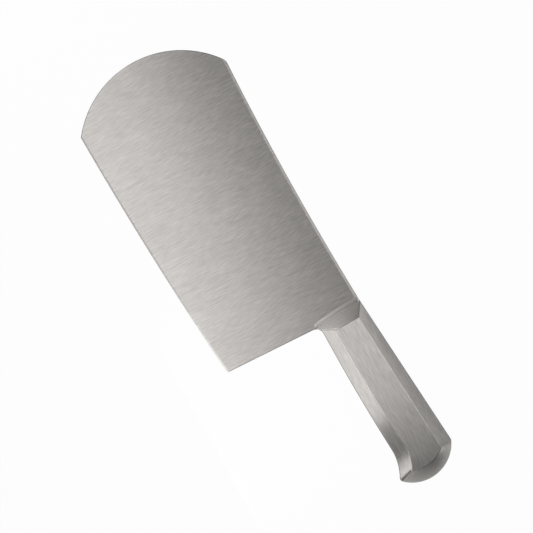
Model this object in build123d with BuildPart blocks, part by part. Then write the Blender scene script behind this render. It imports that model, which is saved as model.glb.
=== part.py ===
from build123d import *
import os
from math import atan2, cos, degrees, radians, sin, tan

# All-steel cleaver with a round nose, lying flat on its right side.
# +X runs to the butt of the handle, +Y to the spine, +Z up out of the left side.
# The origin is on the surface that it lies on, under the middle of its outline.

# Outline of the blade, from the corner where spine and handle meet
spine_length = 178.7        # that corner to the nose corner of the spine
spine_hollow = 1.9          # how far the spine dips between its ends
nose_bulge = 27.3           # height of the nose's arc over its chord
nose_lean = 1.9             # the edge's nose corner lies this much further forward
nose_depth = 106.95         # spine to edge at the nose corners
edge_belly = 1.55           # height of the cutting edge's arc over its chord
heel_depth = 98.05          # spine to heel corner
heel_forward = 1.0          # the heel corner lies this much ahead of the handle
heel_slant = 2.75           # degrees that the back of the heel leans
nose_round = 5.0            # rounding of the spine's nose corner
edge_corner_round = 1.0     # rounding of the edge's nose corner and of the heel
choil_radius = 5.3          # fillet between heel and handle

# Section of the blade
spine_thickness = 2.8       # at the handle
nose_thickness = 2.4        # along the spine at the nose
edge_thickness = 0.5        # where the sharpened bevels start to thin it
spine_ease_width = 1.9      # eased strip along the spine, on the blade's face
spine_ease_depth = 0.7      # the same strip, on the spine
edge_bevel_width = 1.1      # sharpened bevel, on the blade's face
edge_bevel_depth = 0.2      # the same bevel, on the edge

# Outline of the handle, from the same corner
handle_thickness = 19.0
handle_depth = 31.0         # height of the handle at its front
top_length = 107.5          # along X to the upper corner of the butt
top_rise = 7.9              # the top line climbs this much over that length
hook_overhang = 7.35        # the tip of the hook lies this much behind that corner
hook_depth = 34.27          # tip of the hook, below the corner of spine and handle
flare_length = 20.35        # the underside turns down to the hook this far ahead of its tip
flare_depth = 29.2          # depth of the underside there
underside_belly = 0.8       # height of the underside's arc over its chord
butt_bulge = 11.6           # height of the butt's arc over its chord
hook_round = 2.0            # rounding of the hook in outline
butt_corner_round = 1.5     # rounding of the butt's upper corner in outline

# Form of the two handle shells
wall = 1.2                  # pressed sheet
land_height = 2.5           # where rim and bevel would meet, from the middle of the handle
rim_round = 2.2             # rounding between rim and bevel, pressed in small flats
front_behind = 0.53         # the shells' front line ends this much behind the choil
front_hollow = 0.75         # and bows forward this much
panel_ease_share = 0.03     # the panel's edges are eased over this share of the bevels, each way

# Flat panel on the side of each shell, and the bevels round it
panel_front = 9.0           # front edge of the panel, from the corner
top_bevel_front = 6.9       # width of the top bevel at its front
top_bevel_butt = 8.45       # and at the butt
under_bevel_front = 7.35    # width of the bevel along the underside at its front
under_bevel_flare = 8.7     # and where the flare starts
panel_top_back = 0.7        # the panel's upper back corner lies this much behind the rim's
panel_hook_ahead = 2.35     # its hook corner lies this much ahead of the rim's
panel_hook_rise = 10.15     # and this much above it
panel_bulge = 4.1           # height of the arc at the panel's end over its chord
panel_corner_round = 1.5    # lower front corner of the panel

# Welds
seam_width = 1.0            # weld between the two rims
weld_base = 0.5             # the bolster weld's foot plane, from the middle, inside the blade
weld_reach = 3.3            # there it reaches this far ahead of the shell at the spine
weld_reach_choil = 2.6      # and this far at the choil
weld_land = 0.1             # flat at the top of the bolster weld

# Tang inside the handle
tang_length = 42.0
tang_clearance = 0.3        # to the inner face of the rims
tang_taper = 5.0            # each side of the tang's end is this much lower than its root
tang_round = 4.0

overrun = 20.0              # how far cutting shapes pass the parts they cut

# The middle plane of the knife, with its origin at the corner of spine and handle
half_thickness = handle_thickness / 2
blade_length = spine_length + nose_lean / 2 + nose_bulge
handle_length = top_length + hook_overhang / 2 + butt_bulge
corner_x = (blade_length - handle_length) / 2
corner_y = (nose_depth - top_rise) / 2
knife = Plane(origin=(corner_x, corner_y, half_thickness))

# Corners of the outline
top_slope = top_rise / top_length
corner = (0, 0)
spine_end = (-spine_length, 0)
edge_end = (-spine_length - nose_lean, -nose_depth)
heel = (-heel_forward, -heel_depth)
heel_run = tan(radians(heel_slant))
choil = (-heel_forward + (heel_depth - handle_depth) * heel_run, -handle_depth)
hook = (top_length + hook_overhang, -hook_depth)
flare = (hook[0] - flare_length, -flare_depth)
butt_top = (top_length, top_rise)
front_foot = (choil[0] + front_behind, -handle_depth - choil_radius)
ahead_top = (-overrun, -overrun * top_slope)
ahead_low = (-overrun, -handle_depth - overrun)
heel_low = (choil[0] - overrun * heel_run, -handle_depth - overrun)

# Corners of the panel
panel_top_front = (panel_front, panel_front * top_slope - top_bevel_front)
panel_low_front = (panel_front, -handle_depth + under_bevel_front)
panel_butt_top = (top_length + panel_top_back, top_rise - top_bevel_butt)
panel_hook = (hook[0] - panel_hook_ahead, -hook_depth + panel_hook_rise)
panel_flare = (flare[0], -flare_depth + under_bevel_flare)

# The bevels' mean slope gives the rounding of the rim and the inner corners of the sheet
bevel_width = (top_bevel_front + top_bevel_butt) / 2
bevel_rise = half_thickness - land_height
bevel_angle = degrees(atan2(bevel_rise, bevel_width))
rim_turn = 90 - bevel_angle
rim_round_start = land_height - rim_round * tan(radians(rim_turn / 2))
inner_land = land_height - wall * tan(radians(rim_turn / 2))
inner_panel_inset = wall * tan(radians(bevel_angle / 2))
rim_turn_shares = (0, 0.5, 1)


def nearest(shape, point):
    """The vertex of a flat shape that lies nearest to a point of the middle plane."""
    return shape.vertices().sort_by_distance((point[0], point[1], 0))[0]


# The handle's outline, with its top line and underside carried on into the blade
with BuildSketch(knife) as handle_blank:
    with BuildLine():
        Line(ahead_top, butt_top)
        SagittaArc(butt_top, hook, butt_bulge)
        underside = SagittaArc(flare, choil, underside_belly)
        TangentArc(flare, hook, tangent=-(underside % 0))
        Polyline(choil, heel_low, ahead_low, ahead_top)
    make_face()
    fillet(nearest(handle_blank.sketch_local, choil), radius=choil_radius)

# The whole knife in outline, with its corners sharp except for the choil
with BuildSketch(knife) as whole_outline:
    with BuildLine():
        SagittaArc(corner, spine_end, spine_hollow)
        SagittaArc(spine_end, edge_end, -nose_bulge)
        SagittaArc(edge_end, heel, -edge_belly)
        Polyline(heel, choil, corner)
    make_face()
    add(handle_blank.sketch_local)

# Everything on the handle's side of the line where the shells start
with BuildSketch(knife) as handle_side:
    with BuildLine():
        SagittaArc(corner, front_foot, -front_hollow)
        Polyline(
            front_foot,
            (front_foot[0], -hook_depth - overrun),
            (handle_length + overrun, -hook_depth - overrun),
            (handle_length + overrun, top_rise + overrun),
            (0, top_rise + overrun),
            corner,
        )
    make_face()


def handle_outline(inset):
    """Outline of the handle behind its front line, inset from the rims but not there."""
    with BuildSketch(knife) as shape:
        add(handle_blank.sketch_local)
        if inset > 0:
            offset(amount=-inset)
        add(handle_side.sketch_local, mode=Mode.INTERSECT)
    return shape.sketch_local


pressed_outline = handle_outline(0)

# The rims are ground round at the hook and at the butt's upper corner
with BuildSketch(knife) as ground_outline:
    add(pressed_outline)
    fillet(nearest(ground_outline.sketch_local, hook), radius=hook_round)
    fillet(nearest(ground_outline.sketch_local, butt_top), radius=butt_corner_round)


def on_bevel(panel_point, rim_point, share):
    """Point of the bevels, at a share of the way from the panel to the rim."""
    return tuple(a + (b - a) * share for a, b in zip(panel_point, rim_point))


def panel_outline(share):
    """Outline of the panel, carried out along the bevels by a share of their width."""
    top_front = on_bevel(panel_top_front, corner, share)
    butt_end = on_bevel(panel_butt_top, butt_top, share)
    hook_end = on_bevel(panel_hook, hook, share)
    flare_end = on_bevel(panel_flare, flare, share)
    low_front = on_bevel(panel_low_front, choil, share)
    with BuildSketch(knife) as shape:
        with BuildLine():
            Line(top_front, butt_end)
            SagittaArc(butt_end, hook_end, panel_bulge + (butt_bulge - panel_bulge) * share)
            belly = SagittaArc(flare_end, low_front, underside_belly)
            TangentArc(flare_end, hook_end, tangent=-(belly % 0))
            Line(low_front, top_front)
        make_face()
        fillet(nearest(shape.sketch_local, low_front), radius=panel_corner_round)
    return shape.sketch_local


# Tang: as high as the rims leave room for at its root, lower at its end
with BuildSketch(knife) as tang_outline:
    root_top = -wall - tang_clearance
    root_low = -handle_depth + wall + tang_clearance
    with BuildLine():
        Polyline(
            (-overrun, root_top),
            (0, root_top),
            (tang_length, root_top - tang_taper),
            (tang_length, root_low + tang_taper),
            (choil_radius, root_low),
            (-overrun, root_low),
            close=True,
        )
    make_face()
    fillet(tang_outline.vertices().group_by(Axis.X)[-1], radius=tang_round)

with BuildSketch(knife) as blade_outline:
    add(whole_outline.sketch_local)
    add(handle_side.sketch_local, mode=Mode.SUBTRACT)
    add(tang_outline.sketch_local)

with BuildSketch(knife) as rounded_blade_outline:
    add(blade_outline.sketch_local)
    fillet(nearest(rounded_blade_outline.sketch_local, spine_end), radius=nose_round)
    fillet(nearest(rounded_blade_outline.sketch_local, edge_end), radius=edge_corner_round)
    fillet(nearest(rounded_blade_outline.sketch_local, heel), radius=edge_corner_round)


def wedge_section(x):
    """Section across the blade's wedge: thin at the edge, and at the spine towards the nose."""
    forward_share = -x / spine_length
    thickness = spine_thickness + (nose_thickness - spine_thickness) * forward_share
    depth = heel_depth + (nose_depth - heel_depth) * forward_share
    spread = (thickness - edge_thickness) / depth
    top_half = (thickness + spread * overrun) / 2
    low_half = (edge_thickness - spread * edge_belly * 2) / 2
    low_depth = depth + edge_belly * 2
    across = Plane(origin=knife.from_local_coords((x, 0, 0)), x_dir=(0, 1, 0), z_dir=(1, 0, 0))
    with BuildSketch(across) as section:
        with BuildLine():
            Polyline(
                (overrun, top_half),
                (overrun, -top_half),
                (-low_depth, -low_half),
                (-low_depth, low_half),
                close=True,
            )
        make_face()
    return section.sketch


def is_long_arch(face):
    """True for the narrow arched faces along the spine and along the edge."""
    return face.geom_type == GeomType.CYLINDER and face.bounding_box().size.X > spine_length / 2


# Blade and tang, ground to a wedge from spine to edge
with BuildPart() as blade:
    add(blade_outline.sketch)
    extrude(amount=spine_thickness, both=True)
    loft([wedge_section(-blade_length - overrun), wedge_section(tang_length + overrun)],
         ruled=True, mode=Mode.INTERSECT)
    long_faces = blade.faces().filter_by(is_long_arch).sort_by(Axis.Y)
    chamfer(long_faces[-1].edges().sort_by(SortBy.LENGTH)[-2:],
            length=spine_ease_depth, length2=spine_ease_width, reference=long_faces[-1])
    long_faces = blade.faces().filter_by(is_long_arch).sort_by(Axis.Y)
    chamfer(long_faces[0].edges().sort_by(SortBy.LENGTH)[-2:],
            length=edge_bevel_depth, length2=edge_bevel_width, reference=long_faces[0])
    extrude(rounded_blade_outline.sketch, amount=spine_thickness, both=True, mode=Mode.INTERSECT)
blade.part.label = "blade"


def pressed_hollow(side):
    """Hollow of a shell: upright inside its rim, then drawn in to the back of its panel."""
    with BuildPart() as hollow:
        with BuildSketch(knife) as hollow_outline:
            add(pressed_outline)
            offset(amount=-wall)
        extrude(amount=side * inner_land)
        with BuildSketch(knife.offset(side * inner_land)):
            add(hollow_outline.sketch_local)
        with BuildSketch(knife.offset(side * (half_thickness - wall))):
            add(panel_outline(0))
            offset(amount=-inner_panel_inset)
        loft(ruled=True)
    return hollow.part


def handle_shell(side):
    """Pressed shell with an upright rim, its rounding, the flat bevels and the panel."""
    with BuildPart() as shell:
        with BuildSketch(knife.offset(side * seam_width / 2)):
            add(pressed_outline)
        extrude(amount=side * (rim_round_start - seam_width / 2))
        for share in rim_turn_shares:
            turned = radians(rim_turn * share)
            level = rim_round_start + rim_round * sin(turned)
            with BuildSketch(knife.offset(side * level)):
                add(handle_outline(rim_round * (1 - cos(turned))))
        for share in (panel_ease_share, -panel_ease_share):
            level = half_thickness - bevel_rise * max(share, 0)
            with BuildSketch(knife.offset(side * level)):
                add(panel_outline(share))
        loft(ruled=True)
        add(pressed_hollow(side), mode=Mode.SUBTRACT)
        add(blade.part, mode=Mode.SUBTRACT)
        extrude(ground_outline.sketch, amount=side * half_thickness, mode=Mode.INTERSECT)
    return shell


# The shells are mirror images: left lies above the middle plane, right below it
handle_shell_left = handle_shell(1)
handle_shell_left.part.label = "handle_shell_left"
handle_shell_right = handle_shell(-1)
handle_shell_right.part.label = "handle_shell_right"

# Weld along the joint of the two rims, ground flush
with BuildPart() as seam_weld:
    with BuildSketch(knife) as seam_outline:
        add(ground_outline.sketch_local)
        add(handle_outline(wall), mode=Mode.SUBTRACT)
    extrude(amount=seam_width / 2, both=True)
seam_weld.part.label = "seam_weld"


# The bolster welds end at the handle's outline above and half way round the choil below
with BuildSketch(knife) as weld_limits:
    add(whole_outline.sketch_local)
    with Locations((0, -handle_depth - choil_radius / 2)):
        Rectangle(handle_length, handle_length, align=(Align.CENTER, Align.MIN),
                  mode=Mode.INTERSECT)


def front_strip(plane, reach_top, reach_choil):
    """Strip of a plane between the shells' front line and a line ahead of it."""
    strip_top = (-reach_top, 0)
    strip_low = (front_foot[0] - reach_choil, front_foot[1])
    with BuildSketch(plane) as strip:
        with BuildLine():
            SagittaArc(corner, front_foot, -front_hollow)
            Line(front_foot, strip_low)
            SagittaArc(strip_low, strip_top, front_hollow)
            Line(strip_top, corner)
        make_face()
    return strip.sketch


def bolster_weld(side):
    """Weld from the blade's face up to a shell's front, dressed to a slope."""
    with BuildPart() as weld:
        loft([front_strip(knife.offset(side * weld_base), weld_reach, weld_reach_choil),
              front_strip(knife.offset(side * land_height), weld_land, weld_land)], ruled=True)
        extrude(weld_limits.sketch, amount=side * half_thickness, mode=Mode.INTERSECT)
        add(blade.part, mode=Mode.SUBTRACT)
    return weld


bolster_weld_left = bolster_weld(1)
bolster_weld_left.part.label = "bolster_weld_left"
bolster_weld_right = bolster_weld(-1)
bolster_weld_right.part.label = "bolster_weld_right"

os.makedirs("parts", exist_ok=True)
for piece in (blade, handle_shell_left, handle_shell_right, seam_weld,
              bolster_weld_left, bolster_weld_right):
    export_step(piece.part, f"parts/{piece.part.label}.step")
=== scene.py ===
import math

import bmesh
import bpy
from bpy.props import FloatProperty, FloatVectorProperty, PointerProperty
from bpy.types import Operator, Panel, PropertyGroup
from mathutils import Matrix, Vector


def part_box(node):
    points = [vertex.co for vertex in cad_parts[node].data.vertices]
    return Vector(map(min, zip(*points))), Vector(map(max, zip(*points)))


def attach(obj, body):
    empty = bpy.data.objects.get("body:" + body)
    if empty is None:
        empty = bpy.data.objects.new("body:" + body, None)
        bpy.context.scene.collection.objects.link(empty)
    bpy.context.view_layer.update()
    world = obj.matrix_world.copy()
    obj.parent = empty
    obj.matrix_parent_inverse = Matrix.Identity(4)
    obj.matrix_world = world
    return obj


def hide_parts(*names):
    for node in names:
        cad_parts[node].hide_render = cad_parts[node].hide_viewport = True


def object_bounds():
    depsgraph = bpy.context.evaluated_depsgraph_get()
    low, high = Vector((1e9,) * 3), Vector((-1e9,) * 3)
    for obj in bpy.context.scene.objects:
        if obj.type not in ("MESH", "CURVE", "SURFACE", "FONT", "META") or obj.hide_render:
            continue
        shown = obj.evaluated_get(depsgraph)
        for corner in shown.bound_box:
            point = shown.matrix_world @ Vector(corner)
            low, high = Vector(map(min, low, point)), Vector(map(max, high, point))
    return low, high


bl_info = {
    "name": "Chinese Cleaver",
    "version": (1, 0, 0),
    "blender": (4, 5, 0),
    "location": "3D View > Sidebar > Cleaver",
    "description": "Builds an all-steel cleaver round its packed solids, in a plain studio",
    "category": "Object",
}

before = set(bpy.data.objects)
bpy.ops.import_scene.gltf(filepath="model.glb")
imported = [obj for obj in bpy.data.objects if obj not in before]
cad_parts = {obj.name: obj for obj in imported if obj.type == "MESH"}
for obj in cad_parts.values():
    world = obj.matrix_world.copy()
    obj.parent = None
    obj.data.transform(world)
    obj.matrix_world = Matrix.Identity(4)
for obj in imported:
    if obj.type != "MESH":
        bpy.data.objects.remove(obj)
cad_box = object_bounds()

# The knife's own frame has its origin where spine and handle meet, on the middle plane
shell_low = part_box("handle_shell_left")[0]
blade_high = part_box("blade")[1]
whole_low, whole_high = cad_box
KNIFE = Matrix.Translation((shell_low.x, blade_high.y, (whole_low.z + whole_high.z) / 2))
HALF_THICKNESS = (whole_high.z - whole_low.z) / 2
UP = Vector((0, 0, 1))

# How near two points are to count as one, in metres, exactly and after rounding errors, and
# the angle between two faces from which their edge shows as a crisp line
TOUCHING, NEARBY = 1e-6, 2e-5
CRISP_ANGLE = math.radians(15)

# Steps along the sides of the outlines
FRONT_STEPS, RAMP_STEPS, CHOIL_STEPS, UNDERSIDE_STEPS, FLARE_STEPS = 16, 4, 8, 24, 12
BUTT_STEPS, TIP_STEPS, CORNER_STEPS, FILLET_STEPS = 32, 6, 8, 8
SPINE_STEPS, NOSE_STEPS, EDGE_STEPS, TOP_STEPS = 24, 64, 24, 24

# Lengthwise cuts in a bowed bevel, and steps across the roundings of the blade and the handle
BEVEL_CUTS, SOFT_STEPS, RIDGE_STEPS = 3, 4, 6

# Shares of the choil's arc at which the front line and the ramp's mitre meet it
FRONT_SHARE, MITRE_SHARE = 0.24, 0.55

# Where the panel's front, flare and top are divided, to pair with the rim's short sides
RAMP_SHARE, FLARE_SHARE, CORNER_SHARE = 0.85, 0.85, 0.02

# Outward directions of the planes that cut off the bolster welds by the choil and the spine
CHOIL_CUT, SPINE_CUT = (0, -1, 0), (0, 2, 1)

# Where most values of a noise lie, how rough it is, and how fine its marks and patches are
NOISE_LOW, NOISE_HIGH, NOISE_ROUGHNESS = 0.25, 0.75, 0.6
FINE_DETAIL, SOFT_DETAIL = 4.0, 2.0

# Pairs of how squarely the steel faces up or down, and its shade there: painted shade on the
# steep rims, and on the handle a painted highlight along the ridges
BLADE_PAINTED_SHADE = ((0.0, 0.2), (0.88, 0.35), (0.92, 1.0), (1.0, 1.0))
HANDLE_PAINTED_SHADE_AND_HIGHLIGHT = ((0.0, 0.2), (0.6, 0.3), (0.65, 1.0), (0.81, 1.0), (0.9, 1.4),
               (0.97, 1.35), (0.995, 1.0))
WELD_PAINTED_SHADE = ((0.0, 0.7), (0.5, 1.0))

# Paper and light of the studio, and how its upright lamps are turned
PAPER, WHITE = (0.9, 0.9, 0.9, 1), (1, 1, 1, 1)
UPRIGHT = (math.radians(90), 0, 0)
SIDEWAYS = (math.radians(90), 0, math.radians(-90))

# Ends of the shaders' scales of roughness, specular level and metal
MATT, NO_SHEEN, METAL = 1.0, 0.0, 1.0

# Soft patches of the sky: turn in degrees about the vertical from the butt's side, through the
# spine's side, rise in degrees over the floor, sharpness and strength
SKY_PATCHES = {
    "low beyond the nose": (180, 5, 40, 0.3),
    "high beyond the nose": (180, 20, 14, 0.1),
    "low between edge and butt": (300, 5, 40, 0.5),
    "low beyond the butt": (0, 5, 20, 0.25),
    "high between edge and butt": (315, 30, 14, 1.1),
    "high beyond the spine": (90, 30, 14, 0.35),
}


def length(name, description, default):
    """A length in metres that a user can change."""
    return FloatProperty(name=name, description=description, default=default, min=0,
                         precision=5, unit="LENGTH")


def share(name, description, default):
    """A part of one."""
    return FloatProperty(name=name, description=description, default=default, min=0, max=1,
                         subtype="FACTOR")


def tone(name, description, default):
    """A linear colour."""
    return FloatVectorProperty(name=name, description=description, default=default,
                               size=3, min=0, max=1, subtype="COLOR")


def place(name, description, default):
    """A place in the shared frame."""
    return FloatVectorProperty(name=name, description=description, default=default, size=3,
                               precision=3, subtype="TRANSLATION")


def extent(name, description, default):
    """The two sizes of a rectangle."""
    return FloatVectorProperty(name=name, description=description, default=default, size=2,
                               min=0, precision=3, unit="LENGTH")


def glow(name, description, default):
    """Radiance of a lamp, where one is white."""
    return FloatProperty(name=name, description=description, default=default, min=0)


class BladeSizes(PropertyGroup):
    spine_length: length("Spine", "Corner at the handle to the nose corner", 0.1787)
    spine_hollow: length("Spine hollow", "How far the spine dips between its ends", 0.0019)
    nose_bulge: length("Nose bulge", "Height of the nose's arc over its chord", 0.0273)
    nose_lean: length("Nose lean", "The edge's nose corner lies this much further forward", 0.0019)
    nose_depth: length("Nose depth", "Spine to edge at the nose", 0.10695)
    edge_belly: length("Edge belly", "Height of the cutting edge's arc over its chord", 0.00155)
    heel_depth: length("Heel depth", "Spine to the heel corner", 0.09805)
    heel_forward: length("Heel forward", "Heel corner ahead of the handle", 0.001)
    choil_reach: length("Choil reach", "Corner of heel and handle behind the front", 0.00222)
    choil_radius: length("Choil radius", "Fillet between heel and handle", 0.0053)
    nose_round: length("Nose rounding", "Rounding of the spine's nose corner", 0.005)
    corner_round: length("Corner rounding", "Rounding of the edge's two corners", 0.001)
    spine_half: length("Half spine", "Half the thickness at the handle", 0.0014)
    nose_half: length("Half nose", "Half the thickness at the nose, by the spine", 0.0012)
    edge_half: length("Half edge", "Half the thickness where the sharpened bevel starts", 0.00025)
    spine_ease: length("Spine easing", "Width of the eased strip along the spine", 0.0016)
    spine_drop: length("Spine easing depth", "The same strip, on the spine", 0.0006)
    edge_bevel: length("Edge bevel", "Width of the sharpened bevel", 0.0011)
    edge_drop: length("Edge bevel depth", "The same bevel, on the edge", 0.0002)
    outline_ease: length("Outline easing", "Broken edge round nose and heel", 0.00035)
    outline_drop: length("Outline easing depth", "The same easing, on the side", 0.0002)
    strip_round: length("Strip rounding", "Run of the rounding inside the spine's strip", 0.0002)
    spine_round: length("Spine rounding", "Run of the rounding outside that strip", 0.0006)
    outline_round: length("Outline rounding", "Run of the rounding on the broken edge", 0.0001)


class HandleSizes(PropertyGroup):
    depth: length("Depth", "Height of the handle at its front", 0.031)
    top_length: length("Top length", "Along the handle to the butt's upper corner", 0.1075)
    top_rise: length("Top rise", "The top line climbs this much", 0.0079)
    flare_start: length("Flare start", "Where the underside turns down to the hook", 0.0945)
    flare_depth: length("Flare depth", "Depth of the underside there", 0.0292)
    underside_belly: length("Underside belly", "Height of the underside's arc", 0.0008)
    hook_reach: length("Hook reach", "Tip of the hook along the handle", 0.11485)
    hook_depth: length("Hook depth", "Tip of the hook below the corner", 0.03427)
    butt_bulge: length("Butt bulge", "Height of the butt's arc over its chord", 0.0116)
    hook_round: length("Hook rounding", "Rounding of the hook in outline", 0.002)
    butt_round: length("Butt rounding", "Rounding of the butt's upper corner", 0.0015)
    front_bow: length("Front bow", "The front line bows forward this much", 0.00075)
    land_height: length("Land height", "Where rim and bevel would meet, from the middle", 0.0025)
    seam_half: length("Half seam", "Half the width of the weld between the shells", 0.0005)
    rim_round: length("Rim rounding", "Run of the rounding between rim and bevel", 0.00097)
    panel_front: length("Panel front", "Front edge of the panel from the corner", 0.009)
    top_bevel_front: length("Top bevel, front", "Width of the top bevel at its front", 0.0069)
    top_bevel_butt: length("Top bevel, butt", "Width of the top bevel at the butt", 0.00845)
    under_bevel_front: length("Underside bevel, front", "Its width at the front", 0.00735)
    under_bevel_flare: length("Underside bevel, flare", "Its width at the flare", 0.0087)
    panel_top_back: length("Panel top back", "Panel's butt corner behind the rim's", 0.0007)
    panel_hook_ahead: length("Panel hook ahead", "Panel's hook corner ahead of the rim's", 0.00235)
    panel_hook_rise: length("Panel hook rise", "Panel's hook corner above the rim's", 0.0095)
    panel_bulge: length("Panel bulge", "Height of the arc at the panel's end", 0.0034)
    panel_corner_round: length("Panel corner", "Rounding of the lower front corner", 0.0007)
    ridge_round: length("Ridge rounding", "Run of the rounding on the panel's edges", 0.0004)
    mitre_round: length("Mitre rounding", "Run of the rounding down to the choil", 0.00015)
    front_round: length("Front rounding", "Run of the rounding at the foot of the ramp", 0.0003)
    top_hollow: length("Top hollow", "How far the top bevel is hollowed", 0.0002)
    butt_crown: length("Butt crown", "How far the bevel round the butt is crowned", 0.0002)
    wall: length("Wall", "Pressed sheet of the shells", 0.0012)


class WeldSizes(PropertyGroup):
    base: length("Weld base", "Foot of the bolster welds, from the middle, in the blade", 0.0005)
    climb: length("Weld climb", "How far the bolster welds run up the ramps", 0.0002)
    start: length("Weld start", "They start this much below the spine", 0.0006)
    end: length("Weld end", "They end this much below the spine", 0.03365)


class SteelLook(PropertyGroup):
    blade_color: tone("Blade steel", "Colour of the ground blade", (0.62, 0.595, 0.573))
    handle_color: tone("Handle steel", "Colour of the brushed handle", (0.575, 0.552, 0.53))
    weld_color: tone("Weld steel", "Colour of the dressed welds", (0.72, 0.695, 0.67))
    blade_roughness: share("Blade roughness", "Mean roughness of blade and welds", 0.39)
    handle_roughness: share("Handle roughness", "Mean roughness of the handle", 0.32)
    gloss_spread: share("Gloss spread", "How much the marks change the roughness", 0.04)
    one_way: share("One-way sheen", "How far reflections spread across the marks", 0.75)
    mark_length: length("Mark length", "Length of the fine grinding marks", 0.006)
    mark_width: length("Mark width", "Width of the fine grinding marks", 0.0003)
    mottle_size: length("Mottle size", "Size of the soft patches", 0.014)
    broad_scale: FloatProperty(name="Broad marks", description="Their size over the fine ones",
                               default=3)
    stray: FloatProperty(name="Stray", description="Angle between the two sets of marks, halved",
                         default=math.radians(3), subtype="ANGLE")
    fine_shade: share("Fine shade", "How much the fine marks lighten and darken", 0.27)
    broad_shade: share("Broad shade", "The same for the broad marks", 0.08)
    mottle_shade: share("Mottle shade", "The same for the soft patches", 0.03)
    groove_strength: share("Groove strength", "Strength of the relief of the fine marks", 0.1)
    groove_depth: length("Groove depth", "Depth of the relief of the fine marks", 0.00002)


class StudioSettings(PropertyGroup):
    frame_width: length("Frame width", "What the picture takes in at the knife", 0.3465)
    distance: length("Camera distance", "From the knife's middle plane", 1.5)
    target: FloatVectorProperty(name="Target", description="Point at the middle of the picture",
                                default=(-0.0068, 0.0073), size=2, subtype="XYZ")
    turn: FloatProperty(name="Turn", description="Turn of the camera about its line of sight",
                        default=math.radians(60.86), subtype="ANGLE")
    floor_half: length("Half floor", "Half the width of the floor", 6)
    floor_glow: share("Floor glow", "How much of the floor shows as plain white", 0.97)
    key_place: place("Key place", "Middle of the overhead softbox at the edge's side",
                     (-0.12, -0.165, 0.6))
    key_size: extent("Key size", "Size of that softbox", (0.62, 0.33))
    key_glow: glow("Key glow", "Radiance of that softbox", 1.55)
    fill_place: place("Fill place", "Middle of the overhead softbox at the spine's side",
                      (-0.015, 0.44, 0.6))
    fill_size: extent("Fill size", "Size of that softbox", (0.39, 0.6))
    fill_glow: glow("Fill glow", "Radiance of that softbox", 1.4)
    side_place: place("Side place", "Middle of the upright card that the underside faces",
                      (0.068, -0.08, 0.1))
    side_size: extent("Side size", "Size of that card", (0.125, 0.2))
    side_glow: glow("Side glow", "Radiance of that card", 0.92)
    far_place: place("Far place", "Middle of the upright card beyond the nose",
                     (-0.3, -0.09, 0.06))
    far_size: extent("Far size", "Size of that card", (0.24, 0.12))
    far_glow: glow("Far glow", "Radiance of that card", 1.0)
    hook_place: place("Hook place", "Middle of the low card by the hook", (0.12, -0.08, 0.015))
    hook_size: extent("Hook size", "Size of that card", (0.04, 0.03))
    hook_glow: glow("Hook glow", "Radiance of that card", 0.35)


# Outlines

def arc_between(start, end, rise):
    """Centre and swept angle of an arc that stands out to the right of its way by rise."""
    way = end - start
    half = way.length / 2
    angle = 4 * math.atan2(rise, half)
    left = Vector((-way.y, way.x)).normalized()
    centre = (start + end) / 2 + left * half / math.tan(angle / 2)
    return centre, angle


class Side:
    """One side of an outline: a line, or an arc that stands out to the right by its rise."""

    def __init__(self, name, start, end, rise=0.0, steps=1):
        self.name, self.start, self.end = name, Vector(start), Vector(end)
        self.rise, self.steps = rise, steps

    def point(self, share):
        """Point at a share of the way along the side."""
        if not self.rise:
            return self.start.lerp(self.end, share)
        centre, angle = arc_between(self.start, self.end, self.rise)
        return centre + Matrix.Rotation(angle * share, 2) @ (self.start - centre)

    def heading(self, share):
        """Direction of travel there, as an angle."""
        way = self.end - self.start
        angle = 4 * math.atan2(self.rise, way.length / 2)
        return math.atan2(way.y, way.x) + angle * (share - 1 / 2)

    def part(self, from_share, to_share, name=None, steps=None):
        """The stretch of this side between two shares of it."""
        start, end = self.point(from_share), self.point(to_share)
        angle = 4 * math.atan2(self.rise, (self.end - self.start).length / 2)
        rise = (end - start).length / 2 * math.tan(angle * (to_share - from_share) / 4)
        return Side(name or self.name, start, end, rise, steps or self.steps)


def tangent_side(name, before, end, steps):
    """Arc that leaves the side before it smoothly and ends at a point."""
    way = Vector(end) - before.end
    turn = math.atan2(way.y, way.x) - before.heading(1)
    return Side(name, before.end, end, way.length / 2 * math.tan(turn / 2), steps)


def rounded(before, after, radius, name, steps):
    """Two meeting sides cut back, with an arc of a radius between them."""
    turn = after.heading(0) - before.heading(1)
    turn = (turn + math.pi) % math.tau - math.pi
    reach = radius * math.tan(abs(turn) / 2)
    before = before.part(0, 1 - reach / (before.end - before.start).length)
    after = after.part(reach / (after.end - after.start).length, 1)
    chord = (after.start - before.end).length
    arc = Side(name, before.end, after.start, chord / 2 * math.tan(turn / 4), steps)
    return before, arc, after


def new_mesh():
    """Empty mesh with a bevel weight on its edges."""
    bm = bmesh.new()
    bm.edges.layers.float.new("bevel_weight_edge")
    return bm


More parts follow.
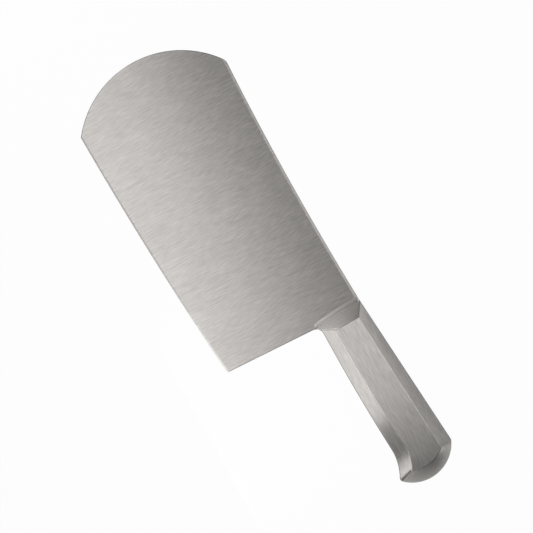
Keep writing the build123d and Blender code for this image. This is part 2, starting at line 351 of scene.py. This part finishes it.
def trace(bm, sides, height):
    """Closed loop of edges along the sides at a height, by spinning and extruding a vertex.
    Returns the edges of each side by its name."""
    others = set(bm.verts)
    bm.verts.new((*sides[0].start, height))

    def at(place):
        mine = [v for v in bm.verts if v not in others]
        return min(mine, key=lambda v: (v.co.xy - place).length)

    edges = {}
    for side in sides:
        known = set(bm.edges)
        last = at(side.start)
        if side is sides[-1]:
            bmesh.ops.contextual_create(bm, geom=[last, at(sides[0].start)])
        elif side.rise:
            centre, angle = arc_between(side.start, side.end, side.rise)
            bmesh.ops.spin(bm, geom=[last], cent=(*centre, height), axis=UP, angle=angle,
                           steps=side.steps, use_duplicate=False)
        else:
            moved = bmesh.ops.extrude_vert_indiv(bm, verts=[last])["verts"]
            bmesh.ops.translate(bm, verts=moved, vec=(*(side.end - side.start), 0))
        if not side.rise and side.steps > 1:
            straight = [e for e in bm.edges if e not in known]
            bmesh.ops.subdivide_edges(bm, edges=straight, cuts=side.steps - 1)
        edges[side.name] = [e for e in bm.edges if e not in known]
    return edges


def every(edges):
    """All the edges of a traced loop in one list."""
    return [e for side in edges.values() for e in side]


def bridge(bm, lower, upper):
    """Faces between two traced loops."""
    return bmesh.ops.bridge_loops(bm, edges=every(lower) + every(upper))["faces"]


def fill(bm, edges):
    """One flat face inside a traced loop."""
    return bmesh.ops.contextual_create(bm, geom=every(edges))["faces"]


def edge_at(bm, start, end):
    """The edge whose ends lie at two points."""
    ends = (Vector(start), Vector(end))
    for edge in bm.edges:
        places = [v.co for v in edge.verts]
        if all(min((end - place).length for place in places) < NEARBY for end in ends):
            return edge
    raise RuntimeError(f"no edge runs from {tuple(start)} to {tuple(end)}")


def soften(bm, runs):
    """Bevel weights for (edges, run) pairs. Returns the widest run, for the modifier."""
    weight = bm.edges.layers.float["bevel_weight_edge"]
    widest = max(run for edges, run in runs)
    for edges, run in runs:
        for edge in edges:
            edge[weight] = run / widest
    return widest


def piece(bm, name, width=0.0, steps=SOFT_STEPS):
    """Object from a mesh in the knife's frame, riding with the knife, with its edges softened."""
    bmesh.ops.transform(bm, matrix=KNIFE, verts=bm.verts)
    bmesh.ops.recalc_face_normals(bm, faces=bm.faces)
    weight = bm.edges.layers.float["bevel_weight_edge"]
    for face in bm.faces:
        face.smooth = True
    for edge in bm.edges:
        edge.smooth = edge[weight] > 0 or edge.calc_face_angle(0) < CRISP_ANGLE
    mesh = bpy.data.meshes.new(name)
    bm.to_mesh(mesh)
    bm.free()
    made = bpy.data.objects.new(name, mesh)
    bpy.context.scene.collection.objects.link(made)
    if width:
        bevel = made.modifiers.new("Soft edges", "BEVEL")
        bevel.limit_method = "WEIGHT"
        bevel.offset_type = "OFFSET"
        bevel.width = width
        bevel.segments = steps
        bevel.harden_normals = True
    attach(made, "root")
    return made


# Blade

def wedge(sizes, place):
    """Half the blade's thickness at a place: thin at the edge, and towards the nose."""
    forward = -place.x / sizes.spine_length
    half = sizes.spine_half + (sizes.nose_half - sizes.spine_half) * forward
    deep = sizes.heel_depth + (sizes.nose_depth - sizes.heel_depth) * forward
    return half + (sizes.edge_half - half) * -place.y / deep


def inset_side(before, side, after, insets):
    """A side moved inwards by its own distance, up to where its neighbours' moved sides are."""
    ends = []
    for first, second in ((before, side), (side, after)):
        headings = (first.heading(1), second.heading(0))
        normals = [Vector((-math.sin(angle), math.cos(angle))) for angle in headings]
        moves = Matrix(normals).inverted() @ Vector((insets[first.name], insets[second.name]))
        ends.append(first.end + moves)
    start, end = ends
    if not side.rise:
        return Side(side.name, start, end, 0, side.steps)
    centre, angle = arc_between(side.start, side.end, side.rise)
    radius = (side.start - centre).length - math.copysign(insets[side.name], angle)
    half = (end - start).length / 2
    rise = math.copysign(radius - math.sqrt(radius ** 2 - half ** 2), side.rise)
    return Side(side.name, start, end, rise, side.steps)


def knife_corners(blade, handle):
    """Choil corner, and the start of the handle's flare."""
    choil = Vector((blade.choil_reach, -handle.depth))
    flare = Vector((handle.flare_start, -handle.flare_depth))
    return choil, flare


def choil_sides(blade, handle):
    """The heel's back, the choil's arc and the handle's underside."""
    choil, flare = knife_corners(blade, handle)
    heel = Side("heel", (-blade.heel_forward, -blade.heel_depth), choil)
    underside = Side("underside", choil, flare, handle.underside_belly, UNDERSIDE_STEPS)
    return rounded(heel, underside, blade.choil_radius, "choil", CHOIL_STEPS)


def blade_sides(blade, handle):
    """The blade's outline from the choil round by spine, nose and edge, corners still sharp."""
    heel, choil, _ = choil_sides(blade, handle)
    choil = choil.part(0, FRONT_SHARE)
    spine_end = Vector((-blade.spine_length, 0))
    edge_end = spine_end - Vector((blade.nose_lean, blade.nose_depth))
    return [
        choil,
        Side("front", choil.end, (0, 0), -handle.front_bow, FRONT_STEPS),
        Side("spine", (0, 0), spine_end, -blade.spine_hollow, SPINE_STEPS),
        Side("nose", spine_end, edge_end, blade.nose_bulge, NOSE_STEPS),
        Side("edge", edge_end, heel.start, blade.edge_belly, EDGE_STEPS),
        heel,
    ]


def round_blade(sides, nose_round, corner_round):
    """The same outline with the nose corners and the heel corner rounded."""
    choil, front, spine, nose, edge, heel = sides
    spine, nose_corner, nose = rounded(spine, nose, nose_round, "nose_corner", CORNER_STEPS)
    nose, edge_corner, edge = rounded(nose, edge, corner_round, "edge_corner", CORNER_STEPS)
    edge, heel_corner, heel = rounded(edge, heel, corner_round, "heel_corner", CORNER_STEPS)
    return [choil, front, spine, nose_corner, nose, edge_corner, edge, heel_corner, heel]


def lift(edges, sides, height_at, drops):
    """Raises a traced loop to a height that varies, less a drop that runs from side to side."""
    for side in sides:
        before, after = drops[side.name]
        way = (side.end - side.start).length
        for vert in {v for e in edges[side.name] for v in e.verts}:
            share = min((vert.co.xy - side.start).length / way, 1)
            vert.co.z = height_at(vert.co) - before - (after - before) * share


def blade_mesh(blade, handle):
    """Left half of the blade as a face, its eased strips and a wall, then mirrored."""
    bm = new_mesh()
    sharp = blade_sides(blade, handle)
    insets = {"choil": blade.outline_ease, "front": 0, "spine": blade.spine_ease,
              "nose": blade.outline_ease, "edge": blade.edge_bevel, "heel": blade.outline_ease}
    inner = [inset_side(sharp[i - 1], side, sharp[(i + 1) % len(sharp)], insets)
             for i, side in enumerate(sharp)]
    outer = round_blade(sharp, blade.nose_round, blade.corner_round)
    inner = round_blade(inner, blade.nose_round - blade.outline_ease,
                        blade.corner_round - blade.outline_ease)
    spine, edge, rest = blade.spine_drop, blade.edge_drop, blade.outline_drop
    drops = {"choil": (rest, rest), "front": (rest, spine), "spine": (spine, spine),
             "nose_corner": (spine, rest), "nose": (rest, rest), "edge_corner": (rest, edge),
             "edge": (edge, edge), "heel_corner": (edge, rest), "heel": (rest, rest)}
    level = {name: (0, 0) for name in drops}
    middle = trace(bm, outer, 0)
    wall = trace(bm, outer, 0)
    face = trace(bm, inner, 0)
    lift(wall, outer, lambda place: wedge(blade, place), drops)
    lift(face, inner, lambda place: wedge(blade, place), level)
    bridge(bm, middle, wall)
    bridge(bm, wall, face)
    fill(bm, face)
    width = soften(bm, [
        (wall["spine"] + wall["nose_corner"], blade.spine_round),
        (face["spine"] + face["nose_corner"], blade.strip_round),
        (face["nose"] + face["edge_corner"] + face["edge"] + face["heel_corner"]
         + face["heel"] + face["choil"], blade.outline_round),
    ])
    bmesh.ops.mirror(bm, geom=bm.verts[:] + bm.edges[:] + bm.faces[:], matrix=Matrix(),
                     merge_dist=TOUCHING, axis="Z")
    return bm, width


# Handle

def rim_sides(blade, handle):
    """Outline of the handle, from the spine down its front line and round to its top line."""
    _, arc, underside = choil_sides(blade, handle)
    ramp_foot = arc.part(FRONT_SHARE, MITRE_SHARE, "ramp_foot", RAMP_STEPS)
    choil = arc.part(MITRE_SHARE, 1)
    hook = Vector((handle.hook_reach, -handle.hook_depth))
    butt_top = Vector((handle.top_length, handle.top_rise))
    front = Side("front", (0, 0), ramp_foot.start, handle.front_bow, FRONT_STEPS)
    flare = tangent_side("flare", underside, hook, FLARE_STEPS)
    butt = Side("butt", hook, butt_top, handle.butt_bulge, BUTT_STEPS)
    top = Side("top", butt_top, (0, 0), 0, TOP_STEPS)
    flare, tip, butt = rounded(flare, butt, handle.hook_round, "tip", TIP_STEPS)
    butt, butt_corner, top = rounded(butt, top, handle.butt_round, "butt_corner", TIP_STEPS)
    return [front, ramp_foot, choil, underside, flare, tip, butt, butt_corner, top]


def panel_sides(handle):
    """Outline of the flat panel, with as many steps in each side as the rim has."""
    slope = handle.top_rise / handle.top_length
    top_front = Vector((handle.panel_front,
                        handle.panel_front * slope - handle.top_bevel_front))
    low_front = Vector((handle.panel_front, handle.under_bevel_front - handle.depth))
    flare_start = Vector((handle.flare_start, handle.under_bevel_flare - handle.flare_depth))
    hook = Vector((handle.hook_reach - handle.panel_hook_ahead,
                   handle.panel_hook_rise - handle.hook_depth))
    butt_top = Vector((handle.top_length + handle.panel_top_back,
                       handle.top_rise - handle.top_bevel_butt))
    front = Side("front", top_front, low_front, 0, FRONT_STEPS)
    underside = Side("underside", low_front, flare_start, handle.underside_belly,
                     UNDERSIDE_STEPS)
    front, choil, underside = rounded(front, underside, handle.panel_corner_round, "choil",
                                      CHOIL_STEPS)
    flare = tangent_side("flare", underside, hook, FLARE_STEPS)
    butt = Side("butt", hook, butt_top, handle.panel_bulge, BUTT_STEPS)
    top = Side("top", butt_top, top_front, 0, TOP_STEPS)
    return [
        front.part(0, RAMP_SHARE),
        front.part(RAMP_SHARE, 1, "ramp_foot", RAMP_STEPS),
        choil,
        underside,
        flare.part(0, FLARE_SHARE),
        flare.part(FLARE_SHARE, 1, "tip", TIP_STEPS),
        butt,
        top.part(0, CORNER_SHARE, "butt_corner", TIP_STEPS),
        top.part(CORNER_SHARE, 1),
    ]


def bow_bevels(bm, land, heights, bows):
    """Cuts the bevels lengthwise, and raises or sinks the cuts in the middle of some sides."""
    low, high = heights
    moves = []
    feet = {v for name in bows for e in land[name] for v in e.verts}
    risers = [e for e in bm.edges if not feet.isdisjoint(e.verts)
              and abs(e.verts[0].co.z - e.verts[1].co.z) > (high - low) / 2]
    bmesh.ops.subdivide_edges(bm, edges=risers, cuts=BEVEL_CUTS, use_grid_fill=True)
    for name, bow in bows.items():
        others = {v for other, side in land.items() if other != name for e in side for v in e.verts}
        for rung in {v for e in land[name] for v in e.verts} - others:
            for _ in range(BEVEL_CUTS):
                rung = max((e.other_vert(rung) for e in rung.link_edges), key=lambda v: v.co.z)
                climb = (rung.co.z - low) / (high - low)
                moves.append((rung, 4 * bow * climb * (1 - climb)))
    for rung, move in moves:
        rung.co.z += move


def shell_mesh(blade, handle):
    """Left shell: upright rim, bevels up to the panel, and the ramp at the front."""
    bm = new_mesh()
    rim_outline, panel_outline = rim_sides(blade, handle), panel_sides(handle)
    seam = trace(bm, rim_outline, handle.seam_half)
    land = trace(bm, rim_outline, handle.land_height)
    panel = trace(bm, panel_outline, HALF_THICKNESS)
    bridge(bm, seam, land)
    bridge(bm, land, panel)
    fill(bm, seam)
    fill(bm, panel)
    starts = {side.name: edge_at(bm, (*side.start, handle.land_height),
                                 (*other.start, HALF_THICKNESS))
              for side, other in zip(rim_outline, panel_outline)}
    rims = [e for name, side in land.items() if name != "front" for e in side]
    width = soften(bm, [(rims, handle.rim_round), (every(panel), handle.ridge_round),
                        ([starts["front"]], handle.ridge_round),
                        ([starts["choil"], starts["butt"], starts["butt_corner"]],
                         handle.mitre_round),
                        (land["front"], handle.front_round)])
    bow_bevels(bm, land, (handle.land_height, HALF_THICKNESS),
               {"top": -handle.top_hollow, "butt": handle.butt_crown})
    return bm, width


# Welds

def seam_mesh(blade, handle):
    """Weld between the two rims, from the choil round the butt to the spine, open in front."""
    bm = new_mesh()
    rim = trace(bm, rim_sides(blade, handle), -handle.seam_half)
    front = [v.co.copy() for e in rim["front"] for v in e.verts]
    inside = fill(bm, rim)
    around = bmesh.ops.inset_region(bm, faces=inside, thickness=handle.wall,
                                    use_boundary=True, use_even_offset=True)["faces"]
    ahead = [f for f in around if sum(v.co in front for v in f.verts) > 1]
    bmesh.ops.delete(bm, geom=inside + ahead, context="FACES")
    raised = bmesh.ops.extrude_face_region(bm, geom=bm.faces[:])["geom"]
    bmesh.ops.translate(bm, verts=[g for g in raised if isinstance(g, bmesh.types.BMVert)],
                        vec=UP * 2 * handle.seam_half)
    return bm


def fillet_mesh(blade, handle, weld):
    """Left bolster weld: a hollow fillet from blade to ramp, spun along the front line."""
    bm = new_mesh()
    front = rim_sides(blade, handle)[0]
    centre, sweep = arc_between(front.start, front.end, front.rise)
    ahead = (front.start - centre).normalized().to_3d()
    along = UP.cross(ahead)
    slope = math.atan2(HALF_THICKNESS - handle.land_height, handle.panel_front)
    rise = handle.land_height - blade.spine_half
    reach = rise / math.sin(slope) + weld.climb
    foot = front.start.to_3d() + ahead * (rise / math.tan(slope) + reach) + UP * blade.spine_half
    middle = foot + UP * reach / math.tan(slope / 2)
    bmesh.ops.create_vert(bm, co=foot)
    bmesh.ops.spin(bm, geom=bm.verts[:], cent=middle, axis=along, angle=slope,
                   steps=FILLET_STEPS, use_duplicate=False)
    lowered = bmesh.ops.extrude_edge_only(bm, edges=bm.edges[:])["geom"]
    for vert in lowered:
        if isinstance(vert, bmesh.types.BMVert):
            vert.co.z = weld.base
    bmesh.ops.spin(bm, geom=bm.verts[:] + bm.edges[:] + bm.faces[:], cent=(*centre, 0), axis=UP,
                   angle=sweep, steps=FRONT_STEPS, use_duplicate=False)
    for place, facing in (((0, -weld.end, 0), CHOIL_CUT),
                          ((0, -weld.start, blade.spine_half), SPINE_CUT)):
        bmesh.ops.bisect_plane(bm, geom=bm.verts[:] + bm.edges[:] + bm.faces[:],
                               plane_co=place, plane_no=facing, clear_outer=True)
        bmesh.ops.holes_fill(bm, edges=[e for e in bm.edges if e.is_boundary])
    for vert in bm.verts:
        if vert.co.z > weld.base + TOUCHING:
            below = (handle.land_height - vert.co.z) / rise
            vert.co.z = handle.land_height - below * (handle.land_height - wedge(blade, vert.co))
    return bm


# Materials

def node(tree, kind, inputs=(), **settings):
    """A new node with its settings, and its inputs set or linked by name or number."""
    made = tree.nodes.new(kind)
    for name, value in settings.items():
        setattr(made, name, value)
    for name, value in dict(inputs).items():
        if isinstance(value, bpy.types.NodeSocket):
            tree.links.new(value, made.inputs[name])
        else:
            made.inputs[name].default_value = value
    return made


def marks(tree, places, grain, turn, detail):
    """Noise drawn out into marks of a length, width and depth, turned about the vertical."""
    laid = node(tree, "ShaderNodeMapping", {"Vector": places, "Rotation": (0, 0, turn),
                                            "Scale": grain}, vector_type="TEXTURE")
    return node(tree, "ShaderNodeTexNoise", {"Vector": laid.outputs[0], "Scale": 1.0,
                                             "Detail": detail,
                                             "Roughness": NOISE_ROUGHNESS}).outputs[0]


def spread(tree, value, low, high):
    """A noise value stretched to run from low to high."""
    return node(tree, "ShaderNodeMapRange", {"Value": value, "From Min": NOISE_LOW,
                                             "From Max": NOISE_HIGH, "To Min": low,
                                             "To Max": high}).outputs[0]


def painted_facing_light(tree, facing, facing_light_pairs):
    """Painted shade and painted highlight by how squarely the steel faces up or down, from pairs of
    facing and shade.
    """
    ramp = node(tree, "ShaderNodeValToRGB", {0: facing})
    stops = ramp.color_ramp.elements
    while len(stops) < len(facing_light_pairs):
        stops.new(1.0)
    brightest = max(shade for _, shade in facing_light_pairs)
    for stop, (squareness, shade) in zip(stops, facing_light_pairs):
        stop.position = squareness
        stop.color = (*[shade / brightest] * 3, 1)
    return node(tree, "ShaderNodeMath", {0: ramp.outputs[0], 1: brightest},
                operation="MULTIPLY").outputs[0]


def brushed_steel(name, color, roughness, grain, across, facing_light_pairs, look):
    """Steel ground in fine parallel marks: grain is their size along each axis, and across is
    the direction at right angles to them, in which the steel spreads its reflections."""
    material = bpy.data.materials.new(name)
    material.use_nodes = True
    tree = material.node_tree
    shader = tree.nodes["Principled BSDF"]
    texture = node(tree, "ShaderNodeTexCoord").outputs
    places = texture["Object"]
    fine = marks(tree, places, grain, look.stray, FINE_DETAIL)
    broad = marks(tree, places, Vector(grain) * look.broad_scale, -look.stray, SOFT_DETAIL)
    mottle = marks(tree, places, Vector.Fill(3, look.mottle_size), 0, SOFT_DETAIL)
    shades = [spread(tree, fine, 1 - look.fine_shade, 1 + look.fine_shade),
              spread(tree, broad, 1 - look.broad_shade, 1 + look.broad_shade),
              spread(tree, mottle, 1 - look.mottle_shade, 1 + look.mottle_shade)]
    shade = node(tree, "ShaderNodeMath", {0: shades[0], 1: shades[1]}, operation="MULTIPLY")
    shade = node(tree, "ShaderNodeMath", {0: shade.outputs[0], 1: shades[2]},
                 operation="MULTIPLY")
    # Painted shade on steep rims and a painted highlight on the handle's ridges, set by which way
    # the surface faces
    facing = node(tree, "ShaderNodeSeparateXYZ", {0: texture["Normal"]}).outputs["Z"]
    facing = node(tree, "ShaderNodeMath", {0: facing}, operation="ABSOLUTE").outputs[0]
    shade = node(tree, "ShaderNodeMath", {0: shade.outputs[0], 1: painted_facing_light(tree, facing, facing_light_pairs)},
                 operation="MULTIPLY")
    tint = node(tree, "ShaderNodeVectorMath", {0: tuple(color), "Scale": shade.outputs[0]},
                operation="SCALE")
    tree.links.new(tint.outputs[0], shader.inputs["Base Color"])
    tree.links.new(spread(tree, fine, roughness - look.gloss_spread, roughness + look.gloss_spread),
                   shader.inputs["Roughness"])
    tangent = node(tree, "ShaderNodeCombineXYZ", dict(enumerate(across)))
    tree.links.new(tangent.outputs[0], shader.inputs["Tangent"])
    bump = node(tree, "ShaderNodeBump", {"Height": fine, "Strength": look.groove_strength,
                                         "Distance": look.groove_depth})
    tree.links.new(bump.outputs[0], shader.inputs["Normal"])
    shader.inputs["Metallic"].default_value = METAL
    shader.inputs["Anisotropic"].default_value = look.one_way
    return material


def dress(made, material, slot, *nodes):
    """A piece with its material, standing for the nodes that it replaces."""
    made.data.materials.append(material)
    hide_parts(*nodes)


# Studio

def lay_floor(scene, studio):
    """Pale paper that the camera and the steel see as white, and that keeps the shadow."""
    bm = bmesh.new()
    bmesh.ops.create_grid(bm, x_segments=1, y_segments=1, size=studio.floor_half)
    mesh = bpy.data.meshes.new("floor")
    bm.to_mesh(mesh)
    bm.free()
    floor = bpy.data.objects.new("floor", mesh)
    scene.collection.objects.link(floor)
    material = bpy.data.materials.new("Floor paper")
    material.use_nodes = True
    tree = material.node_tree
    paper = tree.nodes["Principled BSDF"]
    paper.inputs["Base Color"].default_value = PAPER
    paper.inputs["Roughness"].default_value = MATT
    paper.inputs["Specular IOR Level"].default_value = NO_SHEEN
    path = node(tree, "ShaderNodeLightPath").outputs
    seen = path["Is Camera Ray"]
    for ray in ("Is Glossy Ray", "Is Transmission Ray"):
        seen = node(tree, "ShaderNodeMath", {0: seen, 1: path[ray]},
                    operation="MAXIMUM").outputs[0]
    shown = node(tree, "ShaderNodeMath", {0: seen, 1: studio.floor_glow}, operation="MULTIPLY")
    white = node(tree, "ShaderNodeEmission", {"Color": WHITE, "Strength": 1.0})
    mixed = node(tree, "ShaderNodeMixShader", {0: shown.outputs[0], 1: paper.outputs[0],
                                               2: white.outputs[0]})
    tree.links.new(mixed.outputs[0], tree.nodes["Material Output"].inputs["Surface"])
    mesh.materials.append(material)


def hang_lamp(scene, name, middle, size, radiance, turn=(0, 0, 0)):
    """Rectangular lamp of a radiance, which the camera doesn't see."""
    lamp = bpy.data.lights.new(name, "AREA")
    lamp.shape = "RECTANGLE"
    lamp.size, lamp.size_y = size
    lamp.energy = radiance * math.pi * size[0] * size[1]
    hung = bpy.data.objects.new(name, lamp)
    hung.location = middle
    hung.rotation_euler = turn
    hung.visible_camera = False
    scene.collection.objects.link(hung)


def paint_sky(scene):
    """Dark world with a few soft patches of light."""
    world = bpy.data.worlds.new("Studio")
    world.use_nodes = True
    tree = world.node_tree
    toward = node(tree, "ShaderNodeTexCoord").outputs["Generated"]
    total = None
    for turn, rise, sharpness, strength in SKY_PATCHES.values():
        turned = Matrix.Rotation(math.radians(turn), 3, "Z")
        raised = Matrix.Rotation(-math.radians(rise), 3, "Y")
        middle = turned @ raised @ Vector((1, 0, 0))
        near = node(tree, "ShaderNodeVectorMath", {0: toward, 1: middle}, operation="DOT_PRODUCT")
        fall = node(tree, "ShaderNodeMath", {0: near.outputs["Value"], 1: sharpness,
                                             2: -sharpness}, operation="MULTIPLY_ADD")
        patch = node(tree, "ShaderNodeMath", {0: fall.outputs[0]}, operation="EXPONENT")
        total = node(tree, "ShaderNodeMath", {0: patch.outputs[0], 1: strength,
                                              2: total.outputs[0] if total else 0.0},
                     operation="MULTIPLY_ADD")
    background = tree.nodes["Background"].inputs
    background["Color"].default_value = WHITE
    tree.links.new(total.outputs[0], background["Strength"])
    scene.world = world


def set_camera(scene, studio):
    """Camera square over the knife."""
    data = bpy.data.cameras.new("Camera")
    data.lens = data.sensor_width * studio.distance / studio.frame_width
    camera = bpy.data.objects.new("Camera", data)
    camera.location = (*studio.target, HALF_THICKNESS + studio.distance)
    camera.rotation_euler = (0, 0, studio.turn)
    scene.collection.objects.link(camera)
    scene.camera = camera
    scene.view_settings.view_transform = "Standard"


class CLEAVER_OT_blade(Operator):
    """Model the blade over its CAD solid"""
    bl_idname = "cleaver.blade"
    bl_label = "Blade"
    bl_options = {"REGISTER", "UNDO"}

    def execute(self, context):
        scene = context.scene
        bm, width = blade_mesh(scene.cleaver_blade, scene.cleaver_handle)
        blade = piece(bm, "ground_blade", width)
        look = scene.cleaver_steel
        grain = (look.mark_width, look.mark_length, look.mark_length)
        steel = brushed_steel("Blade steel", look.blade_color, look.blade_roughness, grain,
                              (1, 0, 0), BLADE_PAINTED_SHADE, look)
        dress(blade, steel, "blade_steel", "blade")
        return {"FINISHED"}


class CLEAVER_OT_shells(Operator):
    """Model the two shells of the handle over their CAD solids"""
    bl_idname = "cleaver.shells"
    bl_label = "Handle Shells"
    bl_options = {"REGISTER", "UNDO"}

    def execute(self, context):
        scene = context.scene
        look = scene.cleaver_steel
        grain = (look.mark_length, look.mark_width, look.mark_width)
        steel = brushed_steel("Handle steel", look.handle_color, look.handle_roughness, grain,
                              (0, 1, 0), HANDLE_PAINTED_SHADE_AND_HIGHLIGHT, look)
        for side, direction in (("left", 1), ("right", -1)):
            bm, width = shell_mesh(scene.cleaver_blade, scene.cleaver_handle)
            bmesh.ops.scale(bm, vec=(1, 1, direction), verts=bm.verts)
            shell = piece(bm, f"{side}_shell", width, RIDGE_STEPS)
            dress(shell, steel, "handle_steel", f"handle_shell_{side}")
        return {"FINISHED"}


class CLEAVER_OT_welds(Operator):
    """Model the weld between the shells and the two welds at their front"""
    bl_idname = "cleaver.welds"
    bl_label = "Welds"
    bl_options = {"REGISTER", "UNDO"}

    def execute(self, context):
        scene = context.scene
        blade, handle = scene.cleaver_blade, scene.cleaver_handle
        look = scene.cleaver_steel
        grain = (look.mark_width, look.mark_length, look.mark_length)
        steel = brushed_steel("Weld steel", look.weld_color, look.blade_roughness, grain,
                              (1, 0, 0), WELD_PAINTED_SHADE, look)
        seam = piece(seam_mesh(blade, handle), "rim_seam")
        dress(seam, steel, "weld_steel", "seam_weld")
        for side, direction in (("left", 1), ("right", -1)):
            bm = fillet_mesh(blade, handle, scene.cleaver_weld)
            bmesh.ops.scale(bm, vec=(1, 1, direction), verts=bm.verts)
            fillet = piece(bm, f"{side}_fillet")
            dress(fillet, steel, "weld_steel", f"bolster_weld_{side}")
        return {"FINISHED"}


class CLEAVER_OT_studio(Operator):
    """Add floor, lamps, sky and camera"""
    bl_idname = "cleaver.studio"
    bl_label = "Studio"
    bl_options = {"REGISTER", "UNDO"}

    def execute(self, context):
        scene = context.scene
        studio = scene.cleaver_studio
        lay_floor(scene, studio)
        hang_lamp(scene, "Key", studio.key_place, studio.key_size, studio.key_glow)
        hang_lamp(scene, "Fill", studio.fill_place, studio.fill_size, studio.fill_glow)
        hang_lamp(scene, "Side", studio.side_place, studio.side_size, studio.side_glow, UPRIGHT)
        hang_lamp(scene, "Hook", studio.hook_place, studio.hook_size, studio.hook_glow, UPRIGHT)
        hang_lamp(scene, "Far", studio.far_place, studio.far_size, studio.far_glow, SIDEWAYS)
        paint_sky(scene)
        set_camera(scene, studio)
        return {"FINISHED"}


class CLEAVER_PT_cleaver(Panel):
    """Sizes and looks of the cleaver, and the steps that build it"""
    bl_label = "Cleaver"
    bl_idname = "CLEAVER_PT_cleaver"
    bl_space_type = "VIEW_3D"
    bl_region_type = "UI"
    bl_category = "Cleaver"

    def draw(self, context):
        layout = self.layout
        for heading, name, step in STEPS:
            box = layout.box()
            box.label(text=heading)
            group = getattr(context.scene, name)
            for setting in group.__annotations__:
                box.prop(group, setting)
            if step:
                box.operator(step)


STEPS = (
    ("Steel", "cleaver_steel", None),
    ("Stage", "cleaver_studio", "cleaver.studio"),
    ("Blade", "cleaver_blade", "cleaver.blade"),
    ("Shells", "cleaver_handle", "cleaver.shells"),
    ("Welds", "cleaver_weld", "cleaver.welds"),
)
GROUPS = {"cleaver_blade": BladeSizes, "cleaver_handle": HandleSizes, "cleaver_weld": WeldSizes,
          "cleaver_steel": SteelLook, "cleaver_studio": StudioSettings}
CLASSES = (*GROUPS.values(), CLEAVER_OT_blade, CLEAVER_OT_shells, CLEAVER_OT_welds,
           CLEAVER_OT_studio, CLEAVER_PT_cleaver)


def register():
    for each in CLASSES:
        bpy.utils.register_class(each)
    for name, group in GROUPS.items():
        setattr(bpy.types.Scene, name, PointerProperty(type=group))


def unregister():
    for name in GROUPS:
        delattr(bpy.types.Scene, name)
    for each in reversed(CLASSES):
        bpy.utils.unregister_class(each)


def main():
    register()
    bpy.ops.cleaver.studio()
    bpy.ops.cleaver.blade()
    bpy.ops.cleaver.shells()
    bpy.ops.cleaver.welds()


if __name__ == "__main__":
    main()
